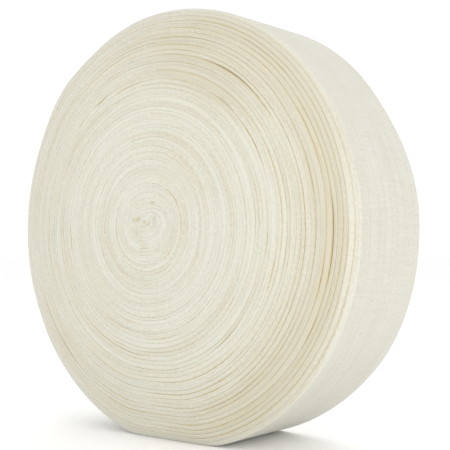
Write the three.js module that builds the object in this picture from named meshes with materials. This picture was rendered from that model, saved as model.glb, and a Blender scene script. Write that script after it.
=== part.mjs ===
// Stockinette roll: a long tube of cotton jersey, pressed flat, wound on itself without a core
// and stood on its rim. Sizes are millimetres and +Z is up. The roll's axis runs along Y. Its
// inner turns have slid along the axis, so the face at -Y is domed and the face at +Y is dished.
// Angles are degrees about the axis, from +X towards +Z.

import * as THREE from 'three';

// Driving dimensions
const CLOTH_WIDTH = 70;
const TURN = 2.6; // one turn of cloth: two layers of jersey
const TURN_COUNT = 50;
const ROLL_RADIUS = TURN * TURN_COUNT;
const SLIDE = 19.5; // how far the innermost turn has slid out of the rim
const SLIDE_POWER = 3.5; // the slide is nearly even over the middle and drops near the rim
const FOOT_DEPTH = 2.8; // how far the rim is pressed flat where the roll stands
const EDGE_ROUNDING = 1.4;
const SHOULDER = 2; // how far the outermost turn lies back from the even face
const SHOULDER_TURNS = 3;
const CLOTH_END_ANGLE = 210; // where the outermost turn ends, in a step one turn high
const CLOTH_END_FACE = 0.5; // degrees that the cut end takes up

// Mesh density
const COLUMNS = 84;
const COARSE_TURNS = 24; // inside this turn the rows lie two turns apart
const DISH_ROWS = 8;

// Soft bulges and hollows of the rim, in mm at its front and at its rear edge
const RIM_BULGES = [
  { angle: 105, spread: 16, front: 1.0, rear: 0.6 },
  { angle: 137, spread: 11, front: 2.4, rear: 1.0 },
  { angle: 32, spread: 15, front: -0.6, rear: -2.4 },
  { angle: 330, spread: 16, front: 0.3, rear: 1.2 },
];

// Main creases of the domed face. Each lies between two turns; turn is counted from the axis,
// depth is in mm and width is in turns.
const FACE_CREASES = [
  { turn: 45.2, from: -19, to: 9, depth: 1.8, width: 1 },
  { turn: 45.4, from: 26, to: 37, depth: 1.0, width: 1 },
  { turn: 44.8, from: -36, to: -20, depth: 1.0, width: 1 },
  { turn: 43.9, from: -23, to: -7, depth: 1.0, width: 1 },
  { turn: 43.9, from: 12, to: 34, depth: 1.0, width: 1 },
  { turn: 42.0, from: 6, to: 21, depth: 1.1, width: 1 },
  { turn: 39.4, from: 33, to: 70, depth: 1.7, width: 1 },
  { turn: 32.8, from: 20, to: 44, depth: 1.1, width: 1 },
  { turn: 32.9, from: 45, to: 60, depth: 1.5, width: 1 },
  { turn: 43.2, from: 66, to: 93, depth: 1.1, width: 1 },
  { turn: 33.2, from: 94, to: 114, depth: 1.1, width: 1 },
  { turn: 33.5, from: 112, to: 126, depth: 1.4, width: 1 },
  { turn: 20.0, from: 94, to: 109, depth: 1.1, width: 2 },
  { turn: 42.9, from: 200, to: 236, depth: 1.6, width: 2 },
  { turn: 42.1, from: 285, to: 317, depth: 1.2, width: 1 },
  { turn: 32.6, from: 298, to: 324, depth: 1.1, width: 1 },
  { turn: 9.7, from: 22, to: 58, depth: 1.1, width: 2 },
];
const CREASE_FADE = 8; // degrees over which a crease runs out at its ends

// The innermost turns are squashed flat, so the middle holds a short trough
const CENTRE = { angle: 60, length: 16, width: 6, depth: 2.5 };

const COTTON_CREAM = 0xe3dfd0;

const radians = THREE.MathUtils.degToRad;
const between = THREE.MathUtils.clamp;
const around = (angle) => THREE.MathUtils.euclideanModulo(angle, 360);
const angleFrom = (angle, middle) => around(angle - middle + 180) - 180;

// How far a turn at this radius has slid towards -Y
function slide(radius) {
  return SLIDE * (1 - (Math.min(radius, ROLL_RADIUS) / ROLL_RADIUS) ** SLIDE_POWER);
}

// The last few turns are wound looser and lie back from both faces
function shoulder(radius) {
  const share = 1 - (ROLL_RADIUS - radius) / (SHOULDER_TURNS * TURN);
  return SHOULDER * between(share, 0, 1) ** 2;
}

// The outline drifts in by one turn on its way round and steps out again at the cloth's end
function spiralDrift(radius, angle) {
  const share = around(angle - CLOTH_END_ANGLE) / 360;
  const outermost = between((radius / TURN - TURN_COUNT + 2) / 2, 0, 1);
  return TURN * (0.5 - share) * outermost;
}

function rimBulge(radius, angle, rearShare) {
  const reach = (radius / ROLL_RADIUS) ** 4;
  return RIM_BULGES.reduce((sum, bulge) => {
    const height = THREE.MathUtils.lerp(bulge.front, bulge.rear, rearShare);
    return sum + height * reach * Math.exp(-((angleFrom(angle, bulge.angle) / bulge.spread) ** 2));
  }, 0);
}

// Depth of the creases at a place on the domed face
function creaseDepth(radius, angle) {
  return FACE_CREASES.reduce((sum, crease) => {
    const across = Math.abs(radius / TURN - crease.turn) / crease.width;
    const middle = (crease.from + crease.to) / 2;
    const toEnd = (crease.to - crease.from) / 2 - Math.abs(angleFrom(angle, middle));
    const along = between(toEnd / CREASE_FADE, 0, 1);
    return sum + crease.depth * Math.max(0, 1 - across) * along;
  }, 0);
}

function centreDepth(radius, angle) {
  const turned = radians(angle - CENTRE.angle);
  const along = (radius * Math.cos(turned)) / CENTRE.length;
  const across = (radius * Math.sin(turned)) / CENTRE.width;
  return CENTRE.depth * Math.exp(-(along ** 2) - across ** 2);
}

// Half section of the roll: out along the domed face, over the rim, and back along the dish
function profileRows() {
  const rows = [];
  const addFront = (radius, rounding, face) => {
    const y = -CLOTH_WIDTH / 2 - slide(radius) + shoulder(radius) + rounding;
    rows.push({ radius, y, face });
  };
  const addBack = (radius, rounding) => {
    const y = CLOTH_WIDTH / 2 - slide(radius) - shoulder(radius) - rounding;
    rows.push({ radius, y, face: false });
  };
  for (let turn = 0; turn < TURN_COUNT; turn += turn < COARSE_TURNS ? 2 : 1) {
    addFront(turn * TURN, 0, true);
  }
  const cornerCut = EDGE_ROUNDING * 0.3;
  addFront(ROLL_RADIUS - cornerCut, cornerCut, false);
  addFront(ROLL_RADIUS, EDGE_ROUNDING, false);
  rows.push({ radius: ROLL_RADIUS, y: 0, face: false });
  addBack(ROLL_RADIUS, EDGE_ROUNDING);
  addBack(ROLL_RADIUS - cornerCut, cornerCut);
  for (let row = DISH_ROWS - 1; row >= 0; row -= 1) {
    addBack((ROLL_RADIUS - TURN) * (row / (DISH_ROWS - 1)) ** 0.8, 0);
  }
  return rows;
}

// The first column lies on the outer side of the cloth's end and the second on its inner side;
// the others are spaced evenly over the rest of the turn.
function columnAngle(column) {
  if (column === 0 || column === COLUMNS) return CLOTH_END_ANGLE;
  const share = (column - 1) / (COLUMNS - 1);
  return CLOTH_END_ANGLE - CLOTH_END_FACE - share * (360 - CLOTH_END_FACE);
}

function rollGeometry() {
  const rows = profileRows();
  const profile = rows.map((row) => new THREE.Vector2(row.radius, row.y));
  const geometry = new THREE.LatheGeometry(profile, COLUMNS);
  const position = geometry.attributes.position;
  for (let index = 0; index < position.count; index += 1) {
    const row = rows[index % rows.length];
    const angle = columnAngle(Math.floor(index / rows.length));
    const rearShare = between(row.y / CLOTH_WIDTH + 0.5, 0, 1);
    const onAxis = row.radius === 0;
    const bulge = rimBulge(row.radius, angle, rearShare);
    const radius = onAxis ? 0 : row.radius + spiralDrift(row.radius, angle) + bulge;
    const sunk = row.face ? creaseDepth(row.radius, angle) + centreDepth(row.radius, angle) : 0;
    const floor = FOOT_DEPTH - ROLL_RADIUS;
    const z = Math.max(radius * Math.sin(radians(angle)), floor);
    position.setXYZ(index, radius * Math.cos(radians(angle)), row.y + sunk, z);
  }
  geometry.deleteAttribute('normal');
  geometry.deleteAttribute('uv');
  geometry.computeBoundingBox();
  const { min, max } = geometry.boundingBox;
  geometry.translate(-(min.x + max.x) / 2, -(min.y + max.y) / 2, -min.z);
  geometry.computeVertexNormals();
  return geometry;
}

const cotton = new THREE.MeshStandardMaterial({
  name: 'cotton_jersey',
  color: COTTON_CREAM,
  roughness: 0.95,
  metalness: 0,
});

const roll = new THREE.Mesh(rollGeometry(), cotton);
roll.name = 'stockinette_roll';

const group = new THREE.Group();
group.name = 'roll_of_stockinette';
group.add(roll);

export default group;
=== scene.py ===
# %% [markdown]
# Stockinette roll
#
# Stockinette is a long tube of cotton jersey. It is sold pressed flat and wound on itself, with
# no core, and here it stands on its rim. Everything that the eye reads as "cloth" on this object
# comes from the winding: fifty soft folds side by side on the face, and one smooth band of
# knitting round the rim. This lesson winds one real flat tube into the roll, so that each fold
# is a true fold, and then gives it a cotton jersey finish.

# %% The frame and the tools
import math

import bmesh
import bpy
import numpy as np
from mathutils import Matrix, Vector, noise


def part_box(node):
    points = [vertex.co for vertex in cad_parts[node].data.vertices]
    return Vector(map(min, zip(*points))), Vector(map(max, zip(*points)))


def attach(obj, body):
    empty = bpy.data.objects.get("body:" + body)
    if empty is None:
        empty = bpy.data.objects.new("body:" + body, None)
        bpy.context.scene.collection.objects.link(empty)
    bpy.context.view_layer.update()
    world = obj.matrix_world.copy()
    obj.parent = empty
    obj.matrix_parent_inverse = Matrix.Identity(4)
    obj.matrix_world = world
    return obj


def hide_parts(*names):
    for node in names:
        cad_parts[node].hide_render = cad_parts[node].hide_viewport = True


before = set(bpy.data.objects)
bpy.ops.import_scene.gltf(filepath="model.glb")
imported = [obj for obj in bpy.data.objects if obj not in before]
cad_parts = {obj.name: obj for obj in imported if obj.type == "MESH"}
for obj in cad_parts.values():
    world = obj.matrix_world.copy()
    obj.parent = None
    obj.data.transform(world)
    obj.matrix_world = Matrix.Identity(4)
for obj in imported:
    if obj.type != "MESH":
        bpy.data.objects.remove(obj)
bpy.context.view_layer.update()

MM = 0.001
node_low, node_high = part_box("stockinette_roll")

# %% [markdown]
# The sizes of the roll
#
# One turn of cloth is two layers of jersey, 2.6 mm thick, and about fifty turns make a roll
# 260 mm across. The cloth is 70 mm wide. The inner turns have slid along the axis, so one face
# is domed and the other is dished by the same amount. All sizes below are in millimetres and are
# the ones that the solid roll was made from.

# %% Sizes of the cloth and of the roll
CLOTH_WIDTH = 70.0
TURN = 2.6  # thickness of one turn
TURN_COUNT = 50
ROLL_RADIUS = TURN * TURN_COUNT
SLIDE = 19.5  # how far the innermost turn has slid out of the rim
SLIDE_POWER = 3.5  # the slide is nearly even over the middle and drops near the rim
FOOT_DEPTH = 2.8  # how far the rim is pressed flat where the roll stands
SHOULDER = 2.0  # how far the outermost turn lies back from both faces
SHOULDER_TURNS = 3.0
CLOTH_END_ANGLE = 210.0  # degrees, where the outermost turn ends

FIRST_TURN = 0.05  # where the winding starts, in turns from the axis
LAST_TURN = TURN_COUNT - 0.5  # where it ends, so that the rim is one roll radius out on average
print("turns wound:", LAST_TURN - FIRST_TURN)

# %% [markdown]
# Stations along the cloth
#
# The flat tube is a grid: one row for each station along its length, one column for each point
# round its pressed section. Stations at one even distance would leave the middle angular or make
# the grid far too heavy. Near the axis a turn is short but bends sharply, so it gets at least 48
# stations, and further out a station every 5 mm keeps the rim round.

# %% Stations along the winding
STATION_STEP = 5.0
FEWEST_PER_TURN = 48


def stations_along_the_cloth():
    """Turn numbers of the stations, from the axis to the cloth's end."""
    turn = FIRST_TURN
    numbers = []
    while turn < LAST_TURN:
        numbers.append(turn)
        circumference = 2 * math.pi * TURN * (turn + 0.5)
        turn += 1 / max(FEWEST_PER_TURN, circumference / STATION_STEP)
    numbers.append(LAST_TURN)
    return np.array(numbers)


turns = stations_along_the_cloth()
angles = np.radians(CLOTH_END_ANGLE) - 2 * math.pi * (turns - LAST_TURN)
print("stations:", len(turns))

# %% [markdown]
# The section of the pressed tube
#
# Pressed flat, the tube is two walls joined by a rounded fold at each edge. A flat ribbon with a
# thickness would be simpler, but its edges are square, and the face of a real roll is all rounded
# folds. Each column of the grid has a place in the section: how far across the turn it lies, from
# the inner wall at -1 to the outer wall at 1, which edge it belongs to, and how deep it lies
# behind that edge's crest. The folds get the most columns, because they are what the face shows.

# %% Columns round the section
FOLD_POINTS = 7
FOLD_SQUARENESS = 3.0  # 2 is a half circle; a pressed fold is squarer
OUTER_WALL = (-0.93, -0.5, 0.0, 0.5, 0.93)
INNER_WALL = (0.93, -0.93)


def section_columns():
    """Columns round the section: across (-1..1), side (-1 front, 1 back), depth (0 at crest)."""
    fold = []
    for angle in np.linspace(-math.pi / 2, math.pi / 2, FOLD_POINTS):
        reach = abs(math.sin(angle)) ** (2 / FOLD_SQUARENESS)
        drop = 1 - abs(math.cos(angle)) ** (2 / FOLD_SQUARENESS)
        fold.append((math.copysign(reach, angle), drop))
    columns = [(reach, -1.0, drop) for reach, drop in fold]
    columns += [(1.0, share, 1.0) for share in OUTER_WALL]
    columns += [(reach, 1.0, drop) for reach, drop in reversed(fold)]
    columns += [(-1.0, share, 1.0) for share in INNER_WALL]
    columns.append(columns[0])
    return np.array(columns)


columns = section_columns()
across, side, depth = columns.T
is_fold = np.abs(side) == 1.0
print("columns round the section:", len(columns))

# %% [markdown]
# Unevenness
#
# No two turns of a real roll are alike. The boundary between two turns wanders a little in and
# out, each fold's crest stands a little higher or lower than its neighbours, and whole groups of
# turns lie a little proud of the rest. A displacement texture would move each point for itself
# and push one turn through the next. Smooth noise along the cloth's length doesn't: it bends the
# cloth as a whole, and every kind of unevenness below is a sum of a few such waves.

# %% Smooth noise along the cloth
OCTAVE_ROWS = 10.0  # how far apart the noise of two octaves is taken
NOISE_PLANE = 0.5


def wander(values, rate, row, octaves):
    """Smooth noise between about -1 and 1 along a list of turn numbers."""
    total = np.zeros(len(values))
    for octave in range(octaves):
        scale = rate * 2 ** octave
        at_row = row + OCTAVE_ROWS * octave
        layer = [noise.noise(Vector((value * scale, at_row, NOISE_PLANE))) for value in values]
        total += np.array(layer) / 2 ** octave
    return total


def waves(values, table):
    """Sum of smooth noises; a line of the table is height, waves a turn, row and octaves."""
    return sum(height * wander(values, rate, row, octaves) for height, rate, row, octaves in table)


print("noise at three turns:", wander([1.5, 2.5, 3.5], rate=3.1, row=1.0, octaves=2))

# %% [markdown]
# The boundary between two turns
#
# What a turn has on its outside, the next turn has on its inside. So one curve is enough: it is
# read at a turn number for the inner wall and one turn later for the outer wall, and the turns
# never run through each other, however much the curve wanders.

# %% Boundary between two turns
BOUNDARY_WAVES = [
    # height in mm, waves a turn, row of the noise, octaves
    (1.0, 3.1, 1.0, 2),
    (0.22, 17.0, 7.0, 2),
    (0.14, 43.0, 13.0, 1),
]
MOST_WANDER = 0.62
CALM_TURNS = 3.0  # the first turns wander less, because they are so short
CLIMB = 0.15  # turns
HOLLOW = 0.12  # radius of what little hollow is left at the axis


def boundary(values):
    """Distance of the boundary inside a turn from the axis."""
    calm = np.clip(values / CALM_TURNS, 0, 1)
    stray = np.clip(waves(values, BOUNDARY_WAVES), -MOST_WANDER, MOST_WANDER)
    even = TURN * values + calm * stray
    # The first turn is doubled up round the axis, and the second climbs over the cloth's own end
    climb = np.clip((values - FIRST_TURN - 1) / CLIMB + 1, 0, 1)
    return HOLLOW + (even - HOLLOW) * climb


inner = boundary(turns)
outer = boundary(turns + 1)
print("thickness of the turns:", (outer - inner).min(), "to", (outer - inner).max())

# %% [markdown]
# The creases
#
# Where the winding has parted, the turns open a little and a line of painted warm shade lies
# between them. Noise could place these lines, but they make the face look like one particular
# roll, so they are listed one by one: how many turns out from the axis, from which angle to
# which, and how strongly, from 0 to 1. Angles run from +X towards +Z. Each crease is given to
# the boundary between turns that lies nearest to it, and follows it round.

# %% Table of the creases
CREASES = [
    # turn, from, to, strength: right side of the face
    (45.2, -19, 9, 1.0),
    (45.4, 10, 24, 0.4),
    (45.4, 26, 37, 0.55),
    (44.8, -36, -20, 0.55),
    (43.9, -23, -7, 0.55),
    (43.9, 12, 34, 0.55),
    (42.9, -31, -20, 0.4),
    (42.0, -46, -34, 0.5),
    (42.0, -13, 6, 0.4),
    (42.0, 6, 21, 0.6),
    (39.9, -44, 16, 0.4),
    (38.1, -16, 6, 0.3),
    (36.4, -16, 1, 0.4),
    (35.7, 4, 46, 0.35),
    (34.8, -11, 30, 0.3),
    (33.9, -26, -9, 0.4),
    (32.1, -14, 3, 0.5),
    (29.0, -11, 15, 0.4),
    (46.2, 29, 62, 0.5),
    (46.8, -11, 20, 0.3),
    (47.5, -15, 2, 0.35),
    (49.0, -44, 6, 0.2),
    (48.9, 36, 56, 0.3),
    (48.2, 44, 66, 0.3),
    # top
    (39.4, 33, 70, 0.8),
    (39.6, 72, 108, 0.25),
    (32.8, 20, 44, 0.6),
    (32.9, 45, 60, 0.85),
    (33.0, 62, 86, 0.3),
    (43.2, 66, 93, 0.6),
    (43.4, 94, 104, 0.3),
    (44.0, 44, 62, 0.45),
    (40.9, 68, 93, 0.35),
    (45.2, 71, 86, 0.35),
    (47.1, 60, 79, 0.35),
    (33.2, 94, 114, 0.6),
    (33.5, 112, 126, 0.8),
    (34.0, 127, 140, 0.5),
    (26.4, 105, 138, 0.45),
    (38.2, 101, 127, 0.35),
    (41.2, 104, 136, 0.3),
    (47.0, 106, 121, 0.35),
    (48.4, 110, 136, 0.4),
    (20.0, 94, 109, 0.6),
    # left side
    (25.9, 134, 157, 0.35),
    (25.7, 176, 194, 0.4),
    (16.9, 134, 158, 0.45),
    (16.4, 174, 184, 0.4),
    (30.0, 184, 226, 0.35),
    (32.1, 162, 174, 0.35),
    (42.9, 200, 236, 0.7),
    (42.0, 206, 232, 0.5),
    # bottom
    (41.8, 238, 264, 0.45),
    (41.8, 264, 286, 0.35),
    (42.1, 285, 317, 0.55),
    (43.2, 240, 316, 0.3),
    (39.6, 284, 301, 0.45),
    (40.2, 299, 314, 0.5),
    (38.4, 264, 310, 0.45),
    (35.1, 232, 257, 0.4),
    (35.1, 274, 316, 0.4),
    (32.1, 256, 297, 0.4),
    (32.6, 298, 324, 0.5),
    (29.5, 222, 268, 0.45),
    (28.6, 246, 260, 0.5),
    (28.4, 262, 302, 0.4),
    (28.6, 315, 333, 0.4),
    (24.8, 239, 263, 0.4),
    (25.4, 262, 301, 0.3),
    (22.4, 240, 262, 0.35),
    (23.8, 294, 312, 0.3),
    (44.8, 257, 316, 0.3),
    (46.3, 258, 318, 0.35),
    (47.8, 274, 316, 0.35),
    # near the middle
    (9.7, 22, 58, 0.6),
    (9.7, -26, -14, 0.4),
    (10.0, 144, 201, 0.45),
    (9.1, 200, 244, 0.35),
    (11.4, 279, 301, 0.5),
    (9.7, 300, 318, 0.4),
    (16.0, -44, -18, 0.35),
    (16.0, 0, 9, 0.5),
    (16.0, 194, 226, 0.35),
    (11.3, 138, 152, 0.3),
    (12.4, 150, 176, 0.25),
    (13.5, 160, 203, 0.4),
    (11.9, 196, 225, 0.4),
    (10.8, 196, 212, 0.4),
    (14.9, 135, 150, 0.35),
    (16.3, 158, 184, 0.35),
    (22.8, 142, 162, 0.35),
    (30.8, 196, 222, 0.3),
    (32.9, 194, 224, 0.3),
    (9.7, -13, 20, 0.4),
    (11.2, -20, 30, 0.35),
    (13.2, 259, 286, 0.3),
]

CREASE_FADE = 6.0  # degrees over which a crease runs out at its ends
CREASE_WAVES = [(0.4, 37.0, 90.0, 2)]  # height, waves a turn, row of the noise, octaves
print("creases placed:", len(CREASES))


# %% Opening the winding at the creases
def nearest_boundary(turn, angle):
    """Turn number of the boundary that passes this angle nearest to a turn."""
    passing = LAST_TURN - ((angle - CLOTH_END_ANGLE) % 360) / 360
    return passing - round(passing - turn)


def crease_at(boundary_turn):
    """How open the winding is at a boundary, from 0 to 1."""
    parted = np.zeros(len(boundary_turn))
    for turn, start, stop, strength in CREASES:
        middle = nearest_boundary(turn, (start + stop) / 2)
        to_end = (stop - start) / 2 - np.abs(boundary_turn - middle) * 360
        parted = np.maximum(parted, strength * np.clip(to_end / CREASE_FADE, 0, 1))
    return np.clip(parted * (1 + waves(boundary_turn, CREASE_WAVES)), 0, 1)


inner_parted = crease_at(turns)
outer_parted = crease_at(turns + 1)
print("the winding has parted at", np.count_nonzero(inner_parted), "stations")

# %% [markdown]
# The grooves between the folds
#
# The other boundaries show too, as shallow grooves with a faint line of painted shade. Both are
# weaker in the tight middle, where the folds are pressed into one another, and stronger further
# out.
# How much of a boundary shows changes along the cloth, or the face would look turned on a lathe.

# %% How much of each boundary shows
SHOWN_WAVES = [
    # height, waves a turn, row of the noise, octaves
    (0.65, 2.3, 40.0, 2),
    (0.6, 11.0, 42.0, 2),
    (0.6, 31.0, 44.0, 2),
]
SHOWN_TIGHT = 0.55
SHOWN_LOOSER = 0.25
LOOSE_FROM = 0.38  # shares of the radius between which the winding gets looser
LOOSE_TO = 0.96
NEAR_RIM_TURNS = 1.5
NEAR_RIM_SOFTER = 0.6  # the outermost folds lie smoothly side by side


def looseness(boundary_turn):
    share = boundary_turn * TURN / ROLL_RADIUS
    return np.clip((share - LOOSE_FROM) / (LOOSE_TO - LOOSE_FROM), 0, 1)


def shown_at(boundary_turn):
    """How much of a boundary shows, from 0 to 1."""
    shown = SHOWN_TIGHT + SHOWN_LOOSER * looseness(boundary_turn)
    shown = np.clip(shown + waves(boundary_turn, SHOWN_WAVES), 0, 1)
    near_rim = np.clip(boundary_turn - LAST_TURN + NEAR_RIM_TURNS, 0, 1)
    return shown * (1 - NEAR_RIM_SOFTER * near_rim)


inner_shown = shown_at(turns)
outer_shown = shown_at(turns + 1)
print("boundaries show by", inner_shown.mean(), "on average")

# %% Depth of the grooves, and strength of their painted shade lines
CALM_MIDDLE = 7.0  # inside this turn the folds are pressed into one another
TIGHT_GROOVE = 0.03
LOOSE_GROOVE = 0.24
HIDDEN_DEPTH = 0.35  # share of its depth that a groove keeps where it doesn't show
SHOWN_DEPTH = 0.95
CREASE_GROOVE = 0.5
EDGE_GROOVE = 1.3  # the outermost fold is rounded off towards the rim
EDGE_TURNS = 0.05
# Strength of the painted shade line between two folds, for tight, looser and parted winding
LINE_TIGHT = 0.26
LINE_LOOSER = 0.26
LINE_PARTED = 0.85


def away_from_middle(turn_numbers):
    return np.clip(turn_numbers / CALM_MIDDLE, 0, 1)


def groove_depth(boundary_turn, parted, shown):
    """Depth in mm of the groove between two folds."""
    groove = TIGHT_GROOVE + (LOOSE_GROOVE - TIGHT_GROOVE) * looseness(boundary_turn)
    groove = groove * (HIDDEN_DEPTH + SHOWN_DEPTH * shown) * away_from_middle(boundary_turn)
    at_rim = np.clip(boundary_turn - LAST_TURN + EDGE_TURNS, 0, EDGE_TURNS) / EDGE_TURNS
    return groove + CREASE_GROOVE * parted ** 2 + EDGE_GROOVE * at_rim


def shade_line_strength(boundary_turn, parted, shown):
    """How strongly painted shade lies along the line between two folds, from 0 to 1."""
    line = (LINE_TIGHT + LINE_LOOSER * looseness(boundary_turn)) * shown
    line = line * away_from_middle(boundary_turn) ** 2
    return np.clip(line + LINE_PARTED * parted, 0, 1)


inner_groove = groove_depth(turns, inner_parted, inner_shown)
outer_groove = groove_depth(turns + 1, outer_parted, outer_shown)
inner_shade_line = shade_line_strength(turns, inner_parted, inner_shown)
outer_shade_line = shade_line_strength(turns + 1, outer_parted, outer_shown)
print("grooves from", inner_groove.min(), "to", inner_groove.max(), "mm deep")

# %% [markdown]
# Winding the tube
#
# Every point of the pressed tube gets a distance from the axis and a place along it. A cloth
# simulation would be the other way to wind a roll, but fifty tight turns in contact are slow and
# hard to settle, and the wound form is known exactly.

# %% Distance of every point from the axis
TIGHT_GAP = 0.02  # mm between two pressed turns
OPEN_GAP = 0.2  # and by how much more where the winding has parted


def wound_radius():
    """Distance from the axis, for every station (rows) and column."""
    low = inner + (TIGHT_GAP + OPEN_GAP * inner_parted ** 3) / 2
    high = outer - (TIGHT_GAP + OPEN_GAP * outer_parted ** 3) / 2
    fold = (low + high)[:, None] / 2 + (high - low)[:, None] / 2 * across[None, :]
    # Behind the folds the walls close up again, so a parted crease is only as deep as a fold
    wall = np.where(across > 0, outer[:, None] - TIGHT_GAP / 2, inner[:, None] + TIGHT_GAP / 2)
    return np.where(is_fold[None, :], fold, wall)


radius = wound_radius()
print("rim from the axis:", radius.max(), "mm")

# %% Place of every point along the axis
CREASE_SINK = 0.5  # how far the folds beside a parted crease lie back, in mm
CREST_EACH = 0.1  # by how much single folds stand proud or lie back
CREST_GROUPS = 0.28  # and whole groups of folds
CREST_INNER = 0.3  # share of this that is left in the tight middle
FRONT_ROW = 4.0
BACK_ROW = 24.0


def crest_heights(row):
    """How far each fold stands proud of the even face, in mm."""
    loose = np.clip(turns * TURN / ROLL_RADIUS, CREST_INNER, 1)
    crest_waves = [(CREST_EACH, 2.3, row, 2), (CREST_GROUPS, 0.31, row + 3, 1)]
    return loose * waves(turns, crest_waves)


def over_the_turn(at_inner, at_outer):
    """A value for every point, from its values at the turn's inner and outer boundary."""
    share = (across[None, :] + 1) / 2
    return at_inner[:, None] * (1 - share) + at_outer[:, None] * share


def wound_along_axis():
    """Place along the axis, for every station (rows) and column, in mm from the rim's middle."""
    slid = SLIDE * (1 - np.clip(radius / ROLL_RADIUS, 0, 1) ** SLIDE_POWER)
    from_rim = (ROLL_RADIUS - radius) / (SHOULDER_TURNS * TURN)
    shoulder = SHOULDER * np.clip(1 - from_rim, 0, 1) ** 2
    sunk = CREASE_SINK * over_the_turn(inner_parted, outer_parted) ** 2
    groove = over_the_turn(inner_groove, outer_groove) * depth[None, :]
    front = -CLOTH_WIDTH / 2 - crest_heights(FRONT_ROW)[:, None] + shoulder + sunk + groove
    back = CLOTH_WIDTH / 2 + crest_heights(BACK_ROW)[:, None] - shoulder - groove
    blend = (side[None, :] + 1) / 2
    return front * (1 - blend) + back * blend - slid


along_axis = wound_along_axis()
print("along the axis:", along_axis.min(), "to", along_axis.max(), "mm")

# %% [markdown]
# Pressing the roll out of true
#
# A soft roll is not round. Its rim bulges and hollows by a millimetre or two, its middle was
# folded flat before the winding began, and it is pressed flat where it stands. Each of these
# moves whole groups of turns together, so the turns stay side by side. A lattice could do the
# same by hand, but these few formulas keep the rim where the solid roll has it.

# %% Bulges and hollows of the rim
RIM_BULGES = [
    # angle and spread in degrees, height in mm at the front and at the rear edge
    (105, 16, 1.0, 0.6),
    (137, 11, 2.4, 1.0),
    (32, 15, -0.6, -2.4),
    (330, 16, 0.3, 1.2),
]


def angle_from(angle, middle):
    return (angle - middle + 180) % 360 - 180


def rim_bulge(degrees, rear_share):
    total = 0
    for angle, spread_angle, front, rear in RIM_BULGES:
        height = front + (rear - front) * rear_share
        total = total + height * np.exp(-((angle_from(degrees, angle) / spread_angle) ** 2))
    return total


print("highest bulge of the rim:", rim_bulge(np.arange(360), 0.5).max(), "mm")

# %% The middle, folded flat
MIDDLE_REACH = 14.0  # mm from the axis
MIDDLE_SQUASH = 0.45  # how much narrower the middle gets across its fold, as a share
MIDDLE_STRETCH = 0.25  # and how much longer along it
MIDDLE_ANGLE = math.radians(10)
MIDDLE_TWIST = 0.8  # how much further the middle is turned, in radians


def squashed_middle(bulged):
    """X and Z from the axis once the middle is squashed and the winding there is twisted."""
    near = np.exp(-((bulged / MIDDLE_REACH) ** 2))
    turned = angles[:, None] + MIDDLE_TWIST * near - MIDDLE_ANGLE
    long_way = bulged * np.cos(turned) * (1 + MIDDLE_STRETCH * near)
    short_way = bulged * np.sin(turned) * (1 - MIDDLE_SQUASH * near)
    x = long_way * math.cos(MIDDLE_ANGLE) - short_way * math.sin(MIDDLE_ANGLE)
    z = long_way * math.sin(MIDDLE_ANGLE) + short_way * math.cos(MIDDLE_ANGLE)
    return x, z


print("the middle is folded flat within about", MIDDLE_REACH, "mm of the axis")

# %% The foot, and the roll's outline
BULGE_POWER = 4  # a bulge of the rim fades quickly inwards
FOOT_REACH = 0.55  # share of the radius inside which the foot is no longer felt
FOOT_BLEND = 1.5


def soft_rise(value):
    """Zero below nought and the value itself above, with a soft change between them."""
    share = np.clip(0.5 + 0.5 * value / FOOT_BLEND, 0, 1)
    return value * share + FOOT_BLEND * share * (1 - share)


def pressed():
    """X and Z of every point after the roll is pressed out of true, from the axis, in mm."""
    share = np.clip(radius / ROLL_RADIUS, 0, None)
    rear_share = np.clip(along_axis / CLOTH_WIDTH + 0.5, 0, 1)
    bulge = rim_bulge(np.degrees(angles)[:, None], rear_share)
    x, z = squashed_middle(radius + bulge * share ** BULGE_POWER)
    floor = FOOT_DEPTH - ROLL_RADIUS
    rim_z = ROLL_RADIUS * np.sin(angles)[:, None]
    felt = np.clip((share - FOOT_REACH) / (1 - FOOT_REACH), 0, 1)
    z = z + soft_rise(floor - rim_z) * felt
    return x, floor + soft_rise(z - floor)


x, z = pressed()
print("outline across:", x.min(), "to", x.max(), "mm")

# %% [markdown]
# The crumpled middle
#
# The cloth was gathered up by hand to start the roll, so its first turns lie crumpled, with small
# pits between them. Sculpting would do here too. Soft noise that lifts and lowers the folds gives
# the same look and can be repeated, and the pits are placed one by one, because the eye goes to
# the middle of the face first.

# %% Crumpling the middle
CRUMPLE = 1.3
CRUMPLE_REACH = 13.0
CRUMPLE_EDGE = 4  # a higher power ends the crumpled patch more sharply
CRUMPLE_SIZE = 7.0
LEAST_CRUMPLE = 0.01
PITS = [
    # x, z, half width, half height, depth, all in mm from the axis
    (-10.4, 3.0, 2.2, 1.0, 0.8),
    (-7.4, 4.2, 1.6, 1.4, 0.9),
    (-2.4, 2.0, 1.3, 1.1, 0.9),
    (5.1, 4.2, 0.9, 2.0, 0.6),
    (9.9, 4.4, 1.0, 1.4, 0.35),
    (4.3, 13.2, 1.1, 0.9, 0.9),
    (-3.6, -12.6, 1.2, 1.2, 1.0),
    (-5.4, -8.0, 1.0, 2.2, 0.5),
    (-8.2, -4.2, 1.0, 2.4, 0.7),
]


def pit_depth():
    """Depth of the small pits between the crumpled folds, in mm."""
    total = np.zeros(x.shape)
    for pit_x, pit_z, half_width, half_height, deep in PITS:
        away = ((x - pit_x) / half_width) ** 2 + ((z - pit_z) / half_height) ** 2
        total += deep * np.exp(-away)
    return total


def crumpled():
    """How far the folds of the middle sink or stand proud, in mm along the axis."""
    near = np.exp(-((np.hypot(x, z) / CRUMPLE_REACH) ** CRUMPLE_EDGE))
    lumps = np.zeros(x.shape)
    for row, col in zip(*np.nonzero(near > LEAST_CRUMPLE)):
        lumps[row, col] = noise.noise(Vector((x[row, col], z[row, col], 0)) / CRUMPLE_SIZE)
    return CRUMPLE * near * lumps + pit_depth()


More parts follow.
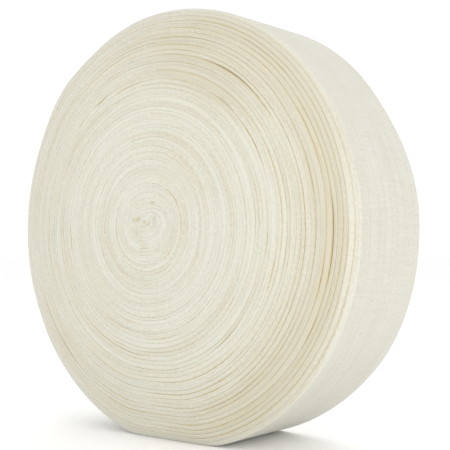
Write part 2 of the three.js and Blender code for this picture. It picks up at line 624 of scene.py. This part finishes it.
along_axis = along_axis + crumpled() * is_fold * (side < 0)
print("deepest pit:", pit_depth().max(), "mm")

# %% [markdown]
# The painted shade of the face
#
# One value for each point says how much painted crease shade that point of the cloth takes. It
# is strongest where two folds meet, fades over the fold, and is faint along the fold's middle,
# where the two walls of the tube meet; the small pits of the middle take it too. It could be
# painted by hand. Worked out from the same numbers as the grooves, it lies exactly in them.

# %% Strength of the painted shade lines
LINE_SOFTNESS = 2.3  # a lower power makes the warm lines between the folds wider
# Painted shade along the middle of each fold
MIDDLE_SHADE_LINE = 0.3
MIDDLE_SHOWN = 0.2
MIDDLE_WAVES = [(1.0, 2.9, 50.0, 2), (0.6, 23.0, 54.0, 2)]
# Painted shade in the small pits of the middle, growing with their depth
PIT_SHADE = 0.7
MOST_PIT_SHADE = 0.65


def middle_shade_line():
    """Strength, at each station, of the painted shade line along the middle of the fold."""
    shown = np.clip(MIDDLE_SHOWN + waves(turns, MIDDLE_WAVES), 0, 1)
    return MIDDLE_SHADE_LINE * shown * away_from_middle(turns) ** 2


def crease_shade_values():
    """How much painted crease shade every point takes."""
    near_boundary = np.where(is_fold, np.abs(across) ** LINE_SOFTNESS, 1.0)
    shade_amount = near_boundary[None, :] * over_the_turn(inner_shade_line, outer_shade_line)
    shade_amount += np.clip(PIT_SHADE * pit_depth(), 0, MOST_PIT_SHADE)
    shade_amount += middle_shade_line()[:, None] * (is_fold & (across == 0))
    # The outer half of the last turn has no neighbour, so it has no painted shade line
    shade_amount[(turns[:, None] > LAST_TURN - 1) & (across[None, :] >= 0)] = 0
    return shade_amount


crease_shades = crease_shade_values()
print("strongest line:", crease_shades.max())

# %% [markdown]
# Painted warm shade of the face
#
# Where the folds lie loosely, light goes in among them and comes back in the yarn's own warm
# colour, while tightly pressed folds look paler. Subsurface scattering would show that too, at a
# high cost for a small effect. Here that light is painted: each point gets painted warm shade from
# a few soft patches of the face, and single folds a warm tone of their own, so it differs from
# fold to fold, as it does on the real roll.

# %% Painted warm shade and tone of the folds
PAINTED_SHADE_PATCHES = [
    # angle and half spread in degrees, turn and half width in turns, strength of the painted shade
    (0, 45, 44.5, 3.5, 0.85),
    (45, 30, 47.5, 3.0, 0.65),
    (55, 18, 34.0, 4.5, 0.4),
    (75, 32, 40.0, 8.0, 0.65),
    (225, 25, 42.0, 3.5, 0.4),
    (312, 32, 45.0, 7.0, 0.65),
]
FOLD_WAVES = [(0.6, 3.7, 60.0, 2)]  # how much warmer or paler a fold is than its neighbours
ARC_WAVES = [(1.0, 4.3, 80.0, 2)]
WARMEST_ARC = 0.38  # warmth of single folds away from the patches
RIM_FADE = 1.0  # turns over which the warmth runs out at the rim


def tone_and_shade_values():
    """Painted warm shade and tone of every point, from 0 to about 1."""
    turn = np.hypot(x, z) / TURN
    degrees = np.degrees(np.arctan2(z, x))
    # The patches paint warm shade; the arcs give single folds a warm tone of their own
    patches = np.zeros(x.shape)
    for angle, spread_angle, middle, width, amount in PAINTED_SHADE_PATCHES:
        away = (angle_from(degrees, angle) / spread_angle) ** 2 + ((turn - middle) / width) ** 2
        patches += amount * np.exp(-away)
    patches = patches * (1 + waves(turns, FOLD_WAVES)[:, None])
    arcs = WARMEST_ARC * np.clip(waves(turns, ARC_WAVES), 0, 1)[:, None]
    inside = np.clip((TURN_COUNT - turn) / RIM_FADE, 0, 1)
    return np.maximum(patches, arcs) * inside * is_fold


tones_and_shades = tone_and_shade_values()
print("warmest fold:", tones_and_shades.max())

# %% [markdown]
# From the flat grid to the roll
#
# The flat grid comes from bmesh.ops.create_grid, which also gives it a UV map. Its points are
# moved to their places in the roll, and the UV map is stretched to the flat cloth's real size in
# metres: u along the cloth, v round the tube. The knitting is drawn on that map, so the stitches
# stay the right size and follow the cloth into every fold.

# %% Flat sizes for the UV map
def flat_length():
    """Length of cloth from the inner end to each station, in metres."""
    middle = (inner + outer) / 2
    step = np.abs(np.diff(angles)) * (middle[1:] + middle[:-1]) / 2
    return np.concatenate([[0.0], np.cumsum(step)]) * MM


def flat_girth():
    """Length of cloth round the tube from its first column to each column, in metres."""
    place_y = side * (CLOTH_WIDTH / 2 - LOOSE_GROOVE * depth)
    step = np.hypot(np.diff(across * TURN / 2), np.diff(place_y))
    return np.concatenate([[0.0], np.cumsum(step)]) * MM


along_cloth = flat_length()
round_tube = flat_girth()
print("cloth wound:", along_cloth[-1], "m; round the tube:", round_tube[-1], "m")

# %% Where the roll's axis lies in the frame
ROLL_AXIS_HEIGHT = ROLL_RADIUS - FOOT_DEPTH


def axis_place():
    """X of the axis and Y of the middle of the rim, in mm."""
    box_middle = (node_low[0] + node_high[0]) / 2 / MM
    return box_middle - (x.max() + x.min()) / 2, node_high[1] / MM - CLOTH_WIDTH / 2


axis_x, axis_y = axis_place()
middle_of_roll = Vector((axis_x, axis_y, ROLL_AXIS_HEIGHT)) * MM
print("axis at x =", axis_x, "mm, middle of the rim at y =", axis_y, "mm")


# %% Winding the grid
def wound_cloth():
    """The pressed tube, wound: a bmesh whose columns still start and end at an open seam."""
    rows, cols = radius.shape
    cloth = bmesh.new()
    flat = cloth.loops.layers.uv.new("flat_cloth")
    bmesh.ops.create_grid(
        cloth, x_segments=cols - 1, y_segments=rows - 1, size=0.5, calc_uvs=True)
    for face in cloth.faces:
        face.smooth = True
        for loop in face.loops:
            col = round(loop[flat].uv.x * (cols - 1))
            row = round(loop[flat].uv.y * (rows - 1))
            loop[flat].uv = (along_cloth[row], round_tube[col])

    # Painted crease shade, and painted warm shade with the folds' own tone, are kept for the
    # material
    painted_crease_shade = cloth.verts.layers.float.new("painted_crease_shade")
    tone_and_shade = cloth.verts.layers.float.new("tone_and_shade")
    places = np.stack([x + axis_x, along_axis + axis_y, z + ROLL_AXIS_HEIGHT], axis=-1) * MM
    values = zip(cloth.verts, places.reshape(-1, 3), crease_shades.ravel(), tones_and_shades.ravel())
    for vert, place, how_shaded, how_toned_and_shaded in values:
        vert.co = place
        vert[painted_crease_shade] = how_shaded
        vert[tone_and_shade] = how_toned_and_shaded
    return cloth


cloth = wound_cloth()
print("faces of the wound cloth:", len(cloth.faces))

# %% [markdown]
# Seam and ends
#
# The grid's last column lies on its first, because the cloth is a tube, so that seam is merged.
# The inner end is closed with a face. So is the outer end, which shows: there the face is inset
# and pushed in, which leaves the two cut layers with the slit between them. Left open, the tube
# would look like a shell without any thickness there.

# %% Closing the seam and the ends
SEAM_REACH = 1e-6
END_LAYER = 0.7
END_SLIT = 2.5


def from_middle_of_roll(face):
    return (face.calc_center_median() - middle_of_roll).length


def close_cloth(cloth):
    seam = {vert for edge in cloth.edges if edge.is_boundary for vert in edge.verts}
    bmesh.ops.remove_doubles(cloth, verts=list(seam), dist=SEAM_REACH)
    end_edges = [edge for edge in cloth.edges if edge.is_boundary]
    end_faces = bmesh.ops.edgeloop_fill(cloth, edges=end_edges)["faces"]
    for edge in end_edges:
        edge.smooth = False
    outer_end = max(end_faces, key=from_middle_of_roll)
    bmesh.ops.recalc_face_normals(cloth, faces=list(cloth.faces))
    slit = bmesh.ops.inset_region(
        cloth, faces=[outer_end], thickness=END_LAYER * MM, depth=-END_SLIT * MM,
        use_even_offset=True)
    print("faces of the slit at the cut end:", len(slit["faces"]))


close_cloth(cloth)
open_edges = sum(1 for edge in cloth.edges if not edge.is_manifold)
print("edges left open:", open_edges, "volume:", cloth.calc_volume(signed=True) * 1e6, "cm3")

# %% [markdown]
# One piece of the scene
#
# The finished cloth becomes one mesh object at the origin. It could be split into turns, but cloth
# in one length is one piece. It rides on the body "root", so that it moves with the roll, it takes
# the place of the solid roll, and its slot names its material.

# %% The roll as one piece of the scene
roll_mesh = bpy.data.meshes.new("wound_stockinette")
cloth.to_mesh(roll_mesh)
cloth.free()
roll = bpy.data.objects.new("wound_stockinette", roll_mesh)
bpy.context.scene.collection.objects.link(roll)
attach(roll, "root")
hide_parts("stockinette_roll")
print("triangles:", sum(len(face.vertices) - 2 for face in roll_mesh.polygons))

# %% [markdown]
# The knitting
#
# Jersey shows columns of small V-shaped stitches, called wales, that run along the cloth. Each
# leg of a V is a rounded, slanting piece of yarn. The stitches are about a millimetre wide, far
# too many to model, so they are a height for a Bump node. The group works on the flat cloth's UV
# map: it folds each wale about its middle, slants the legs, and rounds them both ways. It also
# gives a mask of painted shade for the gaps between the legs.

# %% Node helpers
def new_group(name, inputs, outputs):
    """A shader node group with named float or vector sockets."""
    group = bpy.data.node_groups.new(name, "ShaderNodeTree")
    for socket_name, kind, value in inputs:
        socket = group.interface.new_socket(socket_name, in_out="INPUT", socket_type=kind)
        if value is not None:
            socket.default_value = value
    for socket_name, kind in outputs:
        group.interface.new_socket(socket_name, in_out="OUTPUT", socket_type=kind)
    return group, group.nodes.new("NodeGroupInput"), group.nodes.new("NodeGroupOutput")


def plug(tree, source, socket):
    """Link an output to an input, or set the input if the source is a plain value."""
    if isinstance(source, bpy.types.NodeSocket):
        tree.links.new(source, socket)
    else:
        socket.default_value = source


def math_node(tree, operation, *values):
    node = tree.nodes.new("ShaderNodeMath")
    node.operation = operation
    for value, socket in zip(values, node.inputs):
        plug(tree, value, socket)
    return node.outputs[0]


def spread(tree, value, source, target=(0.0, 1.0)):
    """A value that goes smoothly from end to end of the target as it does over the source."""
    node = tree.nodes.new("ShaderNodeMapRange")
    node.interpolation_type = "SMOOTHSTEP"
    node.inputs["From Min"].default_value = source[0]
    node.inputs["From Max"].default_value = source[1]
    node.inputs["To Min"].default_value = target[0]
    node.inputs["To Max"].default_value = target[1]
    plug(tree, value, node.inputs["Value"])
    return node.outputs["Result"]


print("helpers for shader nodes are ready")


# %% Stitches of the jersey
WALE = 1.15  # width of a stitch column
COURSE = 1.05  # height of a stitch
LEG_SLANT = 0.9
# The stitch group also gives a mask of painted shade for the gap between two legs
GAP_SHADE_HEIGHTS = (0.45, 0.0)  # heights between which the gap between two legs begins and is deepest


def jersey_group():
    tree, given, result = new_group(
        "Jersey stitches",
        [("Flat cloth", "NodeSocketVector", None),
         ("Wale width", "NodeSocketFloat", WALE * MM),
         ("Course height", "NodeSocketFloat", COURSE * MM)],
        [("Height", "NodeSocketFloat"), ("Gap shade", "NodeSocketFloat")])
    parts = tree.nodes.new("ShaderNodeSeparateXYZ")
    plug(tree, given.outputs["Flat cloth"], parts.inputs[0])
    course = math_node(tree, "DIVIDE", parts.outputs["X"], given.outputs["Course height"])
    wale = math_node(tree, "DIVIDE", parts.outputs["Y"], given.outputs["Wale width"])
    in_wale = math_node(tree, "SUBTRACT", math_node(tree, "FRACT", wale), 0.5)
    from_middle = math_node(tree, "ABSOLUTE", in_wale)

    slanted = math_node(tree, "MULTIPLY_ADD", from_middle, LEG_SLANT, course)
    wave = math_node(tree, "COSINE", math_node(tree, "MULTIPLY", slanted, 2 * math.pi))
    along_leg = math_node(tree, "SQRT", math_node(tree, "MULTIPLY_ADD", wave, 0.5, 0.5))
    over_leg = math_node(tree, "SINE", math_node(tree, "MULTIPLY", from_middle, 2 * math.pi))
    across_leg = math_node(tree, "SQRT", math_node(tree, "MAXIMUM", over_leg, 0.0))
    height = math_node(tree, "MULTIPLY", along_leg, across_leg)
    plug(tree, height, result.inputs["Height"])
    # Painted shade mask, strongest where the legs are lowest
    plug(tree, spread(tree, height, GAP_SHADE_HEIGHTS), result.inputs["Gap shade"])
    return tree


jersey = jersey_group()
print("nodes in the stitch group:", len(jersey.nodes))

# %% [markdown]
# Pulled stitches and noise on the cloth
#
# No stitch of a wound cloth is quite straight, so the flat map is pulled about by noise before the
# stitches are drawn. The other noises are stretched one way or the other: long in the direction
# of the yarn, or along the wales. An image texture could carry all this, but nodes stay sharp at
# any distance.

# %% Noise on the flat cloth
PULL = 2.0  # mm that the stitches are pulled about by
PULL_SCALE = 160


def noise_node(tree, vector, scale, detail=2.0, roughness=0.5):
    node = tree.nodes.new("ShaderNodeTexNoise")
    plug(tree, vector, node.inputs["Vector"])
    node.inputs["Scale"].default_value = scale
    node.inputs["Detail"].default_value = detail
    node.inputs["Roughness"].default_value = roughness
    return node


def cloth_noise(tree, flat, cells, detail=2.0, roughness=0.5):
    """Noise with so many cells a metre along the cloth and round the tube."""
    mapping = tree.nodes.new("ShaderNodeMapping")
    mapping.inputs["Scale"].default_value = (*cells, 1)
    plug(tree, flat, mapping.inputs["Vector"])
    return noise_node(tree, mapping.outputs[0], 1.0, detail, roughness).outputs["Fac"]


def pulled_stitches(tree, flat):
    """The jersey group, on a flat map that is pulled about a little."""
    pull = noise_node(tree, flat, PULL_SCALE)
    pulled = tree.nodes.new("ShaderNodeVectorMath")
    pulled.operation = "MULTIPLY_ADD"
    plug(tree, pull.outputs["Color"], pulled.inputs[0])
    pulled.inputs[1].default_value = (PULL * MM, PULL * MM, 0)
    plug(tree, flat, pulled.inputs[2])
    stitches = tree.nodes.new("ShaderNodeGroup")
    stitches.node_tree = jersey
    plug(tree, pulled.outputs[0], stitches.inputs["Flat cloth"])
    return stitches


print("the stitches are pulled about by up to", PULL, "mm")

# %% [markdown]
# Colour of the cotton
#
# The cloth is unbleached cotton: cream rather than white, and a little uneven, because the yarn
# is. Fine darker lines run along the wales, broken up by the grain of the stitches. Where the
# folds lie loosely, warm shade is painted, and the gaps between the stitches take painted shade
# too. The lines between the folds are painted shade, tan because light gets in there only by way
# of the cloth, and here and there is a brown fleck of seed. Each of these is one layer, mixed over
# the ones before it.

# %% Helpers for the colour, and the grain of the stitches
MIX_FIRST = 6  # a Mix node's colour sockets come after its sockets for numbers and vectors
MIX_SECOND = 7
MIX_RESULT = 2
GRAIN_CELLS = (520, 900)  # cells of noise a metre along the cloth and round the tube
GRAIN_NOISE = (0.36, 0.62)
GRAIN_STRENGTH = (0.4, 1.3)


def mixed(tree, factor, first, second):
    node = tree.nodes.new("ShaderNodeMix")
    node.data_type = "RGBA"
    plug(tree, factor, node.inputs["Factor"])
    plug(tree, first, node.inputs[MIX_FIRST])
    plug(tree, second, node.inputs[MIX_SECOND])
    return node.outputs[MIX_RESULT]


def attribute(tree, name):
    node = tree.nodes.new("ShaderNodeAttribute")
    node.attribute_name = name
    return node.outputs["Fac"]


def grain_of(tree, flat):
    """Grain of the stitches: what it is multiplied with breaks up into small dashes."""
    grain = cloth_noise(tree, flat, GRAIN_CELLS, roughness=0.6)
    return spread(tree, grain, GRAIN_NOISE, GRAIN_STRENGTH)


print("grains a centimetre round the tube:", GRAIN_CELLS[1] / 100)

# %% Cream, painted warm shade and wale lines
CREAM = (0.584, 0.579, 0.510, 1)
# Warm cream, for the yarn's uneven tone and for painted warm shade
WARM_TONE_AND_SHADE = (0.510, 0.479, 0.385, 1)
LINE_TAN = (0.475, 0.436, 0.330, 1)
WALE_CELLS = (9, 950)
PATCH_SCALE = 22.0
EVEN_WARMTH = 0.35
YARN_SHARE = 0.5
PATCH_SHARE = 0.3
GRAIN_SHARE = 0.15
# Share of the folds' painted warm shade and tone
TONE_AND_SHADE_SHARE = 0.55
TONE_AND_SHADE_RANGE = (0.7, 1.4)  # warmth between which the cream turns into warm cream
WALE_LINE_NOISE = (0.49, 0.6)
WALE_LINES = 0.4
# The wale lines grow stronger where the folds take painted warm shade and tone
WALE_LINES_IN_TONE_AND_SHADE = 0.75


def cream_colour(tree, flat, place, yarn, grain):
    """Cream cloth with the yarn's uneven tone and painted warm shade in places, with fine lines
    along its wales.
    """
    # The folds' painted warm shade and tone, added to the yarn's uneven tone below
    warm = attribute(tree, "tone_and_shade")
    patches = noise_node(tree, place, PATCH_SCALE, detail=3.0).outputs["Fac"]
    uneven = math_node(tree, "MULTIPLY_ADD", patches, PATCH_SHARE, EVEN_WARMTH)
    uneven = math_node(tree, "MULTIPLY_ADD", yarn, YARN_SHARE, uneven)
    uneven = math_node(tree, "MULTIPLY_ADD", grain, GRAIN_SHARE, uneven)
    tone_and_shade = math_node(tree, "MULTIPLY_ADD", warm, TONE_AND_SHADE_SHARE, uneven)
    colour = mixed(tree, spread(tree, tone_and_shade, TONE_AND_SHADE_RANGE), CREAM, WARM_TONE_AND_SHADE)

    wales = spread(tree, cloth_noise(tree, flat, WALE_CELLS, detail=1.0), WALE_LINE_NOISE)
    wale_share = math_node(tree, "MULTIPLY_ADD", warm, WALE_LINES_IN_TONE_AND_SHADE, WALE_LINES)
    lines = math_node(tree, "MULTIPLY", math_node(tree, "MULTIPLY", wales, wale_share), grain)
    return mixed(tree, lines, colour, LINE_TAN)


print("cream", CREAM[:3], "to warm cream", WARM_TONE_AND_SHADE[:3])

# %% Painted shade in the creases and stitch gaps, and flecks
# Painted tan shade between the folds, along their middles and in the pits
CREASE_SHADE_TAN = (0.50, 0.414, 0.222, 1)
FLECK_BROWN = (0.42, 0.29, 0.16, 1)
# The tops of the stitches take less of the painted crease shade
STITCH_DOTS = -0.2  # how much of the crease's colour the tops of the stitches lose
CREASE_SHADE_RANGE = (0.02, 0.75)
# How much painted shade the gaps between the stitches take
GAP_SHADE_SHARE = 0.2
FLECK_SCALE = 110
FLECK_EDGE = (0.07, 0.03)  # a fleck's outer and inner edge, in cells of its texture
FLECK_CHANCE_SCALE = 900.0
FLECK_CHANCE = (0.62, 0.66)
FLECK_SHARE = 0.6


def with_painted_shade(tree, colour, stitches, grain):
    """The colour with painted tan shade between the folds and painted shade in the stitches' small
    gaps.
    """
    # Painted crease shade, broken up by the stitches and their grain
    deep = spread(tree, attribute(tree, "painted_crease_shade"), CREASE_SHADE_RANGE)
    dotted = math_node(tree, "MULTIPLY_ADD", stitches.outputs["Height"], STITCH_DOTS, 1.0)
    broken = math_node(tree, "MULTIPLY", dotted, grain)
    colour = mixed(tree, math_node(tree, "MULTIPLY", deep, broken), colour, CREASE_SHADE_TAN)
    # Painted shade in the gaps between the legs of the stitches
    gap_shade = math_node(tree, "MULTIPLY", stitches.outputs["Gap shade"], GAP_SHADE_SHARE)
    return mixed(tree, gap_shade, colour, WARM_TONE_AND_SHADE)


def with_flecks(tree, colour, flat):
    """The colour with a brown fleck in the few cells that chance picks."""
    flecks = tree.nodes.new("ShaderNodeTexVoronoi")
    flecks.inputs["Scale"].default_value = FLECK_SCALE
    plug(tree, flat, flecks.inputs["Vector"])
    near = spread(tree, flecks.outputs["Distance"], FLECK_EDGE)
    chance = noise_node(tree, flecks.outputs["Position"], FLECK_CHANCE_SCALE, detail=0.0)
    picked = spread(tree, chance.outputs["Fac"], FLECK_CHANCE)
    fleck = math_node(tree, "MULTIPLY", near, picked)
    return mixed(tree, math_node(tree, "MULTIPLY", fleck, FLECK_SHARE), colour, FLECK_BROWN)


print("creases", CREASE_SHADE_TAN[:3], "and flecks", FLECK_BROWN[:3])

# %% [markdown]
# Relief and sheen of the cotton
#
# Three small reliefs lie on top of one another: soft puckers a few stitches long, the stitches
# themselves, and the fuzz of the yarn. The cloth has no gloss, only the soft bloom of that fuzz,
# which is the shader's sheen. Real hairs would be closer to the truth and would not show from
# where the roll is seen.

# %% Relief of the cotton
PUCKER_CELLS = (120, 60)
PUCKER_RELIEF = 0.2  # mm
STITCH_RELIEF = 0.09  # mm
FUZZ_SCALE = 2600.0
FUZZ_RELIEF = 0.05  # mm


def bump(tree, height, relief, under=None):
    """A relief so many millimetres high, on top of another one."""
    node = tree.nodes.new("ShaderNodeBump")
    node.inputs["Distance"].default_value = relief * MM
    plug(tree, height, node.inputs["Height"])
    if under is not None:
        plug(tree, under, node.inputs["Normal"])
    return node.outputs["Normal"]


def cotton_relief(tree, flat, place, stitches):
    puckers = bump(tree, cloth_noise(tree, flat, PUCKER_CELLS), PUCKER_RELIEF)
    knitted = bump(tree, stitches.outputs["Height"], STITCH_RELIEF, puckers)
    fuzz = noise_node(tree, place, FUZZ_SCALE, detail=3.0, roughness=0.6)
    return bump(tree, fuzz.outputs["Fac"], FUZZ_RELIEF, knitted)


print("relief in all:", PUCKER_RELIEF + STITCH_RELIEF + FUZZ_RELIEF, "mm")

# %% Cotton jersey material
YARN_CELLS = (700, 45)
YARN_NOISE = (0.2, 0.8)
ROUGHNESS = (0.86, 0.97)
SPECULAR_LEVEL = 0.2
SHEEN_WEIGHT = 0.25
SHEEN_ROUGHNESS = 0.5


def cotton_material():
    material = bpy.data.materials.new("cotton_jersey")
    material.use_nodes = True
    tree = material.node_tree
    uv_map = tree.nodes.new("ShaderNodeUVMap")
    uv_map.uv_map = "flat_cloth"
    flat = uv_map.outputs["UV"]
    place = tree.nodes.new("ShaderNodeTexCoord").outputs["Object"]
    stitches = pulled_stitches(tree, flat)
    yarn = cloth_noise(tree, flat, YARN_CELLS)
    grain = grain_of(tree, flat)

    colour = cream_colour(tree, flat, place, yarn, grain)
    colour = with_painted_shade(tree, colour, stitches, grain)
    colour = with_flecks(tree, colour, flat)
    shader = tree.nodes["Principled BSDF"]
    plug(tree, colour, shader.inputs["Base Color"])
    plug(tree, cotton_relief(tree, flat, place, stitches), shader.inputs["Normal"])
    plug(tree, spread(tree, yarn, YARN_NOISE, ROUGHNESS), shader.inputs["Roughness"])
    shader.inputs["Specular IOR Level"].default_value = SPECULAR_LEVEL
    shader.inputs["Sheen Weight"].default_value = SHEEN_WEIGHT
    shader.inputs["Sheen Roughness"].default_value = SHEEN_ROUGHNESS
    return material


roll_mesh.materials.append(cotton_material())
print("material on the roll:", roll_mesh.materials[0].name)

# %% [markdown]
# The camera
#
# The camera stands as it did for the photograph: a little to the right of the roll's axis, so
# that the domed face fills most of the view and the rim shows at the right, and just below the
# middle of the roll. A camera can be turned by hand until the picture fits. These numbers were
# found from the two rims, whose real sizes are known, so the distance is right as well.

# %% Camera
CAMERA_AZIMUTH = math.radians(38.3)
CAMERA_ELEVATION = math.radians(-1.4)
CAMERA_DISTANCE = 605.4
CAMERA_TO_RIGHT = 11.6
CAMERA_UP = 1.4
IMAGE_WIDTH = 450
FOCAL_PIXELS = 969.3
SENSOR = 36.0


def photo_camera():
    back = Vector((
        math.sin(CAMERA_AZIMUTH) * math.cos(CAMERA_ELEVATION),
        -math.cos(CAMERA_AZIMUTH) * math.cos(CAMERA_ELEVATION),
        math.sin(CAMERA_ELEVATION)))
    right = Vector((math.cos(CAMERA_AZIMUTH), math.sin(CAMERA_AZIMUTH), 0))
    target = middle_of_roll + right * CAMERA_TO_RIGHT * MM + Vector((0, 0, CAMERA_UP * MM))
    data = bpy.data.cameras.new("camera")
    data.sensor_width = SENSOR
    data.lens = FOCAL_PIXELS / IMAGE_WIDTH * SENSOR
    camera = bpy.data.objects.new("camera", data)
    camera.location = target + back * CAMERA_DISTANCE * MM
    camera.rotation_euler = back.to_track_quat("Z", "Y").to_euler()
    bpy.context.scene.collection.objects.link(camera)
    return camera


bpy.context.scene.camera = photo_camera()
print("camera at", tuple(bpy.context.scene.camera.location))

# %% [markdown]
# Floor and light
#
# The roll stands on a plain, nearly white floor under a white sky, which gives most of the light.
# One soft light at the right lifts the rim, a low one in front fills the domed face down to the
# floor, and one behind shows the dished back when the roll is seen from there. Harder or fewer
# lights would draw shadows between the folds that soft studio light doesn't leave.

# %% Floor
FLOOR_REACH = 12.0
FLOOR_WHITE = (0.97, 0.97, 0.97, 1)
FLOOR_ROUGHNESS = 0.9


def studio_floor():
    floor = bmesh.new()
    bmesh.ops.create_grid(floor, x_segments=1, y_segments=1, size=FLOOR_REACH)
    mesh = bpy.data.meshes.new("floor")
    floor.to_mesh(mesh)
    floor.free()
    material = bpy.data.materials.new("floor")
    material.use_nodes = True
    shader = material.node_tree.nodes["Principled BSDF"]
    shader.inputs["Base Color"].default_value = FLOOR_WHITE
    shader.inputs["Roughness"].default_value = FLOOR_ROUGHNESS
    mesh.materials.append(material)
    stage = bpy.data.objects.new("floor", mesh)
    bpy.context.scene.collection.objects.link(stage)


studio_floor()
print("floor laid,", 2 * FLOOR_REACH, "m wide")

# %% Sky and lights
SKY_WHITE = (1, 1, 1, 1)
SKY_STRENGTH = 1.02
LIGHTS = [
    # name, place in metres, size in metres, power in watts
    ("side_light", (1.6, -0.12, 0.45), 1.0, 8),
    ("low_light", (0.2, -1.1, 0.06), 0.7, 7.2),
    ("back_light", (-0.7, 1.2, 1.2), 1.2, 6),
]


def soft_light(name, place, size, power):
    """A square light that faces the middle of the roll."""
    data = bpy.data.lights.new(name, "AREA")
    data.size = size
    data.energy = power
    light = bpy.data.objects.new(name, data)
    light.location = place
    light.rotation_euler = (Vector(place) - middle_of_roll).to_track_quat("Z", "Y").to_euler()
    bpy.context.scene.collection.objects.link(light)


def white_sky():
    world = bpy.data.worlds.new("sky")
    world.use_nodes = True
    sky = world.node_tree.nodes["Background"]
    sky.inputs["Color"].default_value = SKY_WHITE
    sky.inputs["Strength"].default_value = SKY_STRENGTH
    bpy.context.scene.world = world


for light in LIGHTS:
    soft_light(*light)
white_sky()
bpy.context.scene.view_settings.view_transform = "Standard"
print("lights placed:", len(LIGHTS))
